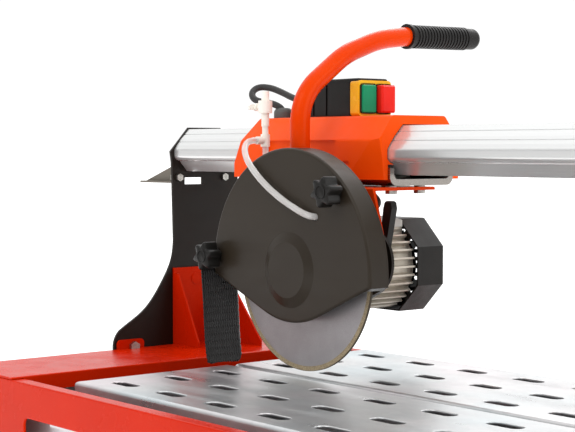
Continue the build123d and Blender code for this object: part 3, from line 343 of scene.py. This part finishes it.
BLACK_PLASTIC = plastic("black_plastic", linear(20, 19, 17), linear(28, 26, 24), 0.34, 1500.0, 0.3)
COWL_PLASTIC = plastic("cowl_plastic", linear(26, 22, 19), linear(22, 19, 16), 0.42)
GREY_PLASTIC = plastic("grey_plastic", linear(196, 196, 190), linear(180, 180, 174), 0.35)
GLAND_PLASTIC = plastic("gland_plastic", linear(92, 92, 90), linear(78, 78, 76), 0.4)
YELLOW_PLASTIC = plastic("yellow_plastic", linear(244, 184, 30), linear(236, 172, 22), 0.25)
GREEN_PLASTIC = plastic("green_plastic", linear(20, 142, 96), linear(14, 124, 84), 0.18, 300.0, 0.1)
RED_PLASTIC = plastic("red_plastic", linear(226, 40, 26), linear(204, 28, 18), 0.16, 300.0, 0.1)
WHITE_PLASTIC = plastic("white_plastic", linear(246, 244, 236), linear(238, 232, 222), 0.3)
RUBBER = rubber("moulded_rubber", linear(26, 25, 25), linear(34, 33, 32))
GRIP_RUBBER = rubber("grip_rubber", linear(24, 23, 23), linear(32, 31, 30), 0.42)
FLAP_RUBBER = rubber("flap_rubber", linear(18, 16, 16), linear(26, 23, 22), 0.3, 0.42)
CABLE_RUBBER = rubber("cable_sheath", linear(56, 56, 56), linear(66, 65, 64), 0.45)
CLEAR = clear_tube("clear_tube")
SMOKED = plastic("smoked_bezel", linear(52, 44, 38), linear(40, 34, 30), 0.15, 300.0, 0.1)

SLOT_FINISH = {
    "frame_paint": ORANGE,
    "housing_paint": CAST_ORANGE,
    "dark_paint": BLACK_COAT,
    "guard_paint": GUARD_COAT,
    "galvanised": ZINC_SHEET,
    "zinc_steel": ZINC,
    "rail_aluminium": RAIL_METAL,
    "channel_aluminium": CHANNEL_METAL,
    "cast_aluminium": CASTING,
    "blade_steel": BLADE_METAL,
    "black_plastic": BLACK_PLASTIC,
    "grey_plastic": GREY_PLASTIC,
    "yellow_plastic": YELLOW_PLASTIC,
    "green_plastic": GREEN_PLASTIC,
    "red_plastic": RED_PLASTIC,
    "white_plastic": WHITE_PLASTIC,
    "clear_hose": CLEAR,
    "cable_rubber": CABLE_RUBBER,
    "rubber": RUBBER,
}


def wear(node, material):
    """Give a CAD node its material."""
    mesh = frame["nodes"][node].data
    mesh.materials.clear()
    mesh.materials.append(material)


for part in frame["record"]["subparts"]:
    wear(part["node"], SLOT_FINISH[part["material_slot"]])
wear("fan_cover", COWL_PLASTIC)
wear("cable_gland", GLAND_PLASTIC)
wear("handle_tube", HANDLE_ORANGE)
wear("head_bracket", HANDLE_ORANGE)
wear("side_brackets", BRACKET_COAT)
wear("handle_grip", GRIP_RUBBER)


# ---- cords ---------------------------------------------------------------------------------
def cord_line(name, points, diameter, material):
    """A smooth round cord that starts and ends at its end points and leans to the others."""
    curve = bpy.data.curves.new(name, "CURVE")
    curve.dimensions = "3D"
    spline = curve.splines.new("NURBS")
    spline.points.add(len(points) - 1)
    for place, point in zip(spline.points, points):
        place.co = (*at(*point), 1.0)
    spline.order_u = 3
    spline.use_endpoint_u = True
    spline.resolution_u = 12
    curve.bevel_depth = mm(diameter) / 2
    curve.bevel_resolution = 8
    curve.use_fill_caps = True
    cord = bpy.data.objects.new(name, curve)
    bpy.context.scene.collection.objects.link(cord)
    curve.materials.append(material)
    return cord


SWITCH_CABLE_D = 9.0
HOSE_D = 8.0
MOTOR_CABLE_D = 7.0
SWITCH_CABLE = (
    (-129, 118, 212), (-146, 118, 212), (-164, 117, 216), (-183, 114, 224), (-201, 108, 231),
    (-213, 96, 232), (-213, 84, 224), (-203, 80, 214), (-189, 86, 210), (-176, 95, 208),
    (-168, 104, 200), (-168, 104, 192.5),
)
FRONT_HOSE = (
    (-104, 8, 158), (-103, -4, 158), (-96, -18, 151), (-82, -27, 137),
    (-62, -31, 121), (-38, -32, 104), (-9, -32, 88), (20, -32, 76), (39, -31, 69),
    (48, -26, 66.3), (50, -18, 66),
)
REAR_HOSE = ((-104, 22, 150), (-103, 22, 143), (-99, 18, 134), (-96, 11, 125), (-95, 8, 116))
MOTOR_CABLE = (
    (24, 92, 97), (24, 92, 90), (33, 93, 84), (33, 93, 77), (24, 92, 72), (24, 92, 68),
)

switch_cable = cord_line("switch_lead", SWITCH_CABLE, SWITCH_CABLE_D, CABLE_RUBBER)
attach(switch_cable, "carriage")
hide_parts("switch_cable")

front_hose = cord_line("spray_hose_front", FRONT_HOSE, HOSE_D, CLEAR)
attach(front_hose, "head")
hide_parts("front_hose")

rear_hose = cord_line("spray_hose_rear", REAR_HOSE, HOSE_D, CLEAR)
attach(rear_hose, "head")
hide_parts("rear_hose")

motor_cable = cord_line("motor_lead", MOTOR_CABLE, MOTOR_CABLE_D, CABLE_RUBBER)
motor_cable.select_set(True)
bpy.context.view_layer.objects.active = motor_cable
bpy.ops.object.convert(target="MESH")
motor_cable = bpy.context.object
motor_cable.select_set(False)
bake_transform(motor_cable)
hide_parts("motor_cable")


# ---- modelled pieces -----------------------------------------------------------------------
SHARP = 0.7                 # edges that turn more than this, in radians, are rounded

LOBES = 6
LOBE_MEAN = 15.8            # mean radius of the star knob's outline
LOBE_SWING = 3.0
LOBE_POINTS = 96
LOBE_PHASE = math.radians(90)
KNOB_BACK = -30.4           # Y of the lobes' back face
KNOB_DEPTH = 17.0
KNOB_STEPS = ((0.5, 1.0), (0.6, 0.7), (0.7, 0.35))      # inset and rise of the rounded front
KNOB_NECK = ("neck", 9.0, -31.0, -23.8)                 # name, radius, front and back Y
KNOB_CAP = ("cap", 8.6, -50.4, -49.0)
CAP_RING = 1.1              # width of the ring round the cap
CAP_DEPTH = 1.0

CURTAIN_Y = -43.0           # near edge of the curtain
CURTAIN_WIDTH = 56.0
CURTAIN_HEIGHT = 122.0
CURTAIN_FOOT = -129.0
CURTAIN_X = -156.2
CURTAIN_THICK = 2.2
CURTAIN_CORNER = 8.0
CURTAIN_SWING = 11.0        # the foot hangs this far toward the blade
CURTAIN_SAG = 1.6
CURTAIN_SHIFT = 3.0
RIB_PITCH = 3.7
RIB_HEIGHT = 1.5
RIB_WAVE = 0.7              # the ribs wander this far to each side
RIB_WAVE_LENGTH = 9.0
RIB_CALM = 4.0              # within this distance of an edge they wander less
FOOT_TRIM = 0.3             # the lowest row starts above the foot, so that no edge closes up
TAB_LINE = ((-160, -20, -9), (-160, 6, -9), (-160, 6, 12), (-160, -20, 12))
TAB_THICK = 4.0

BEZEL_HALF = 13.0
BEZEL_Z = (192.0, 230.5)
BEZEL_X = -13.2
BEZEL_PROUD = 3.4
BEZEL_WALL = 0.9
BEZEL_CORNER = 4.0


def sheet_from(name, outline, material):
    """A flat face from points in the blade's millimetres, opened for editing."""
    bpy.ops.object.select_all(action="DESELECT")
    mesh = bpy.data.meshes.new(name)
    mesh.from_pydata([tuple(at(*p)) for p in outline], [], [tuple(range(len(outline)))])
    piece = bpy.data.objects.new(name, mesh)
    bpy.context.scene.collection.objects.link(piece)
    mesh.materials.append(material)
    piece.select_set(True)
    bpy.context.view_layer.objects.active = piece
    bpy.ops.object.mode_set(mode="EDIT")
    bpy.ops.mesh.select_all(action="SELECT")
    return piece


def move_out(vector):
    """Extrude what is selected by a vector in millimetres."""
    step = tuple(mm(v) for v in vector)
    bpy.ops.mesh.extrude_region_move(TRANSFORM_OT_translate={"value": step})


def close_piece(piece, body, smooth=0.6):
    """Leave editing, face the normals outward, shade, and hang the piece on its body."""
    bpy.ops.mesh.select_all(action="SELECT")
    bpy.ops.mesh.normals_make_consistent(inside=False)
    bpy.ops.object.mode_set(mode="OBJECT")
    bpy.ops.object.shade_smooth_by_angle(angle=smooth)
    piece.select_set(False)
    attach(piece, body)


def round_edges(width):
    """Round every sharp edge of the piece that is being edited."""
    bpy.ops.mesh.select_all(action="DESELECT")
    bpy.ops.mesh.select_mode(type="EDGE")
    bpy.ops.mesh.edges_select_sharp(sharpness=SHARP)
    bpy.ops.mesh.bevel(offset=mm(width), segments=3, affect="EDGES", clamp_overlap=True)
    bpy.ops.mesh.select_mode(type="FACE")


def dish_cap(disc):
    """Sink the middle of a cap so that a ring stands around it."""
    bpy.ops.mesh.select_all(action="DESELECT")
    bpy.ops.mesh.select_mode(type="FACE")
    bpy.ops.object.mode_set(mode="OBJECT")
    front = min(disc.data.polygons, key=lambda face: face.center.y)
    front.select = True
    bpy.ops.object.mode_set(mode="EDIT")
    bpy.ops.mesh.inset(thickness=mm(CAP_RING), depth=0)
    bpy.ops.mesh.inset(thickness=mm(0.5), depth=0)
    bpy.ops.transform.translate(value=(0, mm(CAP_DEPTH), 0))
    bpy.ops.mesh.inset(thickness=mm(0.4), depth=0)


def star_knob(name, x, z, node):
    """Six-lobed clamp knob with soft lobes and a ring around its cap."""
    outline = []
    for k in range(LOBE_POINTS):
        turn = math.tau * k / LOBE_POINTS
        reach = LOBE_MEAN + LOBE_SWING * math.cos(LOBES * turn - LOBE_PHASE)
        outline.append((x + reach * math.cos(turn), KNOB_BACK, z + reach * math.sin(turn)))
    knob = sheet_from(name, outline, BLACK_PLASTIC)
    move_out((0, -KNOB_DEPTH, 0))
    for thick, step in KNOB_STEPS:
        bpy.ops.mesh.inset(thickness=mm(thick), depth=0)
        bpy.ops.transform.translate(value=(0, mm(-step), 0))
    close_piece(knob, node, 0.9)
    for part, radius, y0, y1 in (KNOB_NECK, KNOB_CAP):
        bpy.ops.mesh.primitive_cylinder_add(
            vertices=48, radius=mm(radius), depth=mm(y1 - y0),
            location=at(x, (y0 + y1) / 2, z), rotation=(math.pi / 2, 0, 0))
        disc = bpy.context.object
        disc.name = name + "_" + part
        bpy.ops.object.transform_apply(location=True, rotation=True, scale=True)
        disc.data.materials.append(BLACK_PLASTIC)
        bpy.ops.object.mode_set(mode="EDIT")
        if part == "cap":
            dish_cap(disc)
        close_piece(disc, node)
    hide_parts(node)


star_knob("upper_knob", 88, 97, "upper_guard_knob")
star_knob("lower_knob", -146, 10, "lower_guard_knob")


def curtain():
    """Rubber curtain with wavy upright ribs and rounded lower corners, and the tab that holds it."""
    bpy.ops.object.select_all(action="DESELECT")
    bpy.ops.mesh.primitive_grid_add(x_subdivisions=168, y_subdivisions=150, size=1)
    piece = bpy.context.object
    piece.name = "splash_curtain"
    for corner in piece.data.vertices:
        across = (corner.co.x + 0.5) * CURTAIN_WIDTH
        up = (corner.co.y + 0.5) * (CURTAIN_HEIGHT - FOOT_TRIM) + FOOT_TRIM
        if up < CURTAIN_CORNER:
            cut = CURTAIN_CORNER - math.sqrt(CURTAIN_CORNER ** 2 - (CURTAIN_CORNER - up) ** 2)
            across = cut + across * (CURTAIN_WIDTH - 2 * cut) / CURTAIN_WIDTH
        drop = 1 - up / CURTAIN_HEIGHT
        inside = min(1.0, min(across, CURTAIN_WIDTH - across) / RIB_CALM)
        wave = RIB_WAVE * inside * math.sin(math.tau * up / RIB_WAVE_LENGTH)
        rib = abs(math.sin(math.pi * (across + wave) / RIB_PITCH))
        rib = 1 - (1 - rib) ** 2 * (0.75 + 0.25 * math.cos(2 * math.tau * up / RIB_WAVE_LENGTH))
        swing = CURTAIN_SWING * drop * drop + CURTAIN_SAG * math.sin(drop * 5.0)
        x = CURTAIN_X + swing + RIB_HEIGHT * rib
        y = CURTAIN_Y + across + CURTAIN_SHIFT * drop
        corner.co = at(x, y, CURTAIN_FOOT + up)
    bpy.ops.object.mode_set(mode="EDIT")
    bpy.ops.mesh.select_all(action="SELECT")
    bpy.ops.mesh.solidify(thickness=mm(CURTAIN_THICK))
    piece.data.materials.append(FLAP_RUBBER)
    close_piece(piece, "head", 1.2)
    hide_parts("splash_flap")
    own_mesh(piece)
    bpy.ops.object.select_all(action="DESELECT")
    tab = sheet_from("curtain_tab", TAB_LINE, BLACK_COAT)
    move_out((TAB_THICK, 0, 0))
    round_edges(0.8)
    close_piece(tab, "head")


def rounded_box(y0, y1, z0, z1, r, x):
    """Outline of a rounded rectangle that faces along X."""
    line = []
    centres = ((y1 - r, z1 - r), (y0 + r, z1 - r), (y0 + r, z0 + r), (y1 - r, z0 + r))
    for quarter, (cy, cz) in enumerate(centres):
        for k in range(7):
            turn = math.radians(90 * quarter + 90 * k / 6)
            line.append((x, cy + r * math.cos(turn), cz + r * math.sin(turn)))
    return line


def bezel(name, y):
    """Frame around one button."""
    line = rounded_box(y - BEZEL_HALF, y + BEZEL_HALF, *BEZEL_Z, BEZEL_CORNER, BEZEL_X)
    ring = sheet_from(name, line, SMOKED)
    move_out((BEZEL_PROUD, 0, 0))
    bpy.ops.mesh.inset(thickness=mm(BEZEL_WALL), depth=0)
    bpy.ops.transform.translate(value=(mm(-0.8), 0, 0))
    bpy.ops.mesh.delete(type="FACE")
    close_piece(ring, "carriage")


bezel("start_bezel", 115.8)
bezel("stop_bezel", 142.2)

curtain()


# ---- studio --------------------------------------------------------------------------------
FLOOR_SIZE = 160.0
FLOOR_GLOW = 0.42
SWEEP_SEEN = 1.05           # strength of the sweep where the camera sees it
SWEEP_UP = (0.0, -0.75, 0.0, 0.85)      # from low to high: a direction's Z, then the strength
SWEEP_BACK = (0.7, -0.5, 0.28, 0.75)    # the same for its Y
LAMPS = (                   # name, place in millimetres, size in metres, power in watts
    ("key", (300, -1900, 1500), 1.4, 14.0),
    ("side", (2000, 500, 700), 1.2, 9.0),
    ("back", (-900, 1500, 1500), 1.6, 16.0),
)


def studio_floor():
    """Pale plain floor that glows a little."""
    bpy.ops.mesh.primitive_plane_add(size=FLOOR_SIZE, location=(0, 0, 0))
    floor = bpy.context.object
    floor.name = "floor"
    f = Finish("pale_floor", roughness=0.8, Emission_Color=(1, 1, 1, 1), Emission_Strength=FLOOR_GLOW)
    shade = f.spread(f.noise(0.7, 3.0), 0.0, 1.0)
    f.colour(f.mix(shade, (0.88, 0.88, 0.88, 1), (0.85, 0.85, 0.85, 1)))
    floor.data.materials.append(f.material)


def studio_sweep():
    """White surroundings: even for the camera, brighter overhead and behind for the surfaces."""
    world = bpy.data.worlds.new("studio")
    bpy.context.scene.world = world
    world.use_nodes = True
    nodes = world.node_tree.nodes
    links = world.node_tree.links
    background = nodes["Background"]
    geometry = nodes.new("ShaderNodeNewGeometry")
    split = nodes.new("ShaderNodeSeparateXYZ")
    links.new(geometry.outputs["Incoming"], split.inputs["Vector"])
    up = nodes.new("ShaderNodeMapRange")
    back = nodes.new("ShaderNodeMapRange")
    for node, value, spread in ((up, split.outputs["Z"], SWEEP_UP), (back, split.outputs["Y"], SWEEP_BACK)):
        links.new(value, node.inputs["Value"])
        for socket, number in zip(("From Min", "From Max", "To Min", "To Max"), spread):
            node.inputs[socket].default_value = number
    total = nodes.new("ShaderNodeMath")
    links.new(up.outputs["Result"], total.inputs[0])
    links.new(back.outputs["Result"], total.inputs[1])
    path = nodes.new("ShaderNodeLightPath")
    pick = nodes.new("ShaderNodeMapRange")
    links.new(path.outputs["Is Camera Ray"], pick.inputs["Value"])
    links.new(total.outputs[0], pick.inputs["To Min"])
    pick.inputs["To Max"].default_value = SWEEP_SEEN
    links.new(pick.outputs["Result"], background.inputs["Strength"])
    background.inputs["Color"].default_value = (1, 1, 1, 1)


def studio_lamps():
    """Three soft area lamps, aimed at the blade."""
    for name, spot, size, power in LAMPS:
        lamp = bpy.data.objects.new(name, bpy.data.lights.new(name, "AREA"))
        bpy.context.scene.collection.objects.link(lamp)
        lamp.location = at(*spot)
        lamp.rotation_euler = (BLADE - lamp.location).to_track_quat("-Z", "Y").to_euler()
        lamp.data.size = size
        lamp.data.energy = power


studio_floor()
studio_sweep()
studio_lamps()
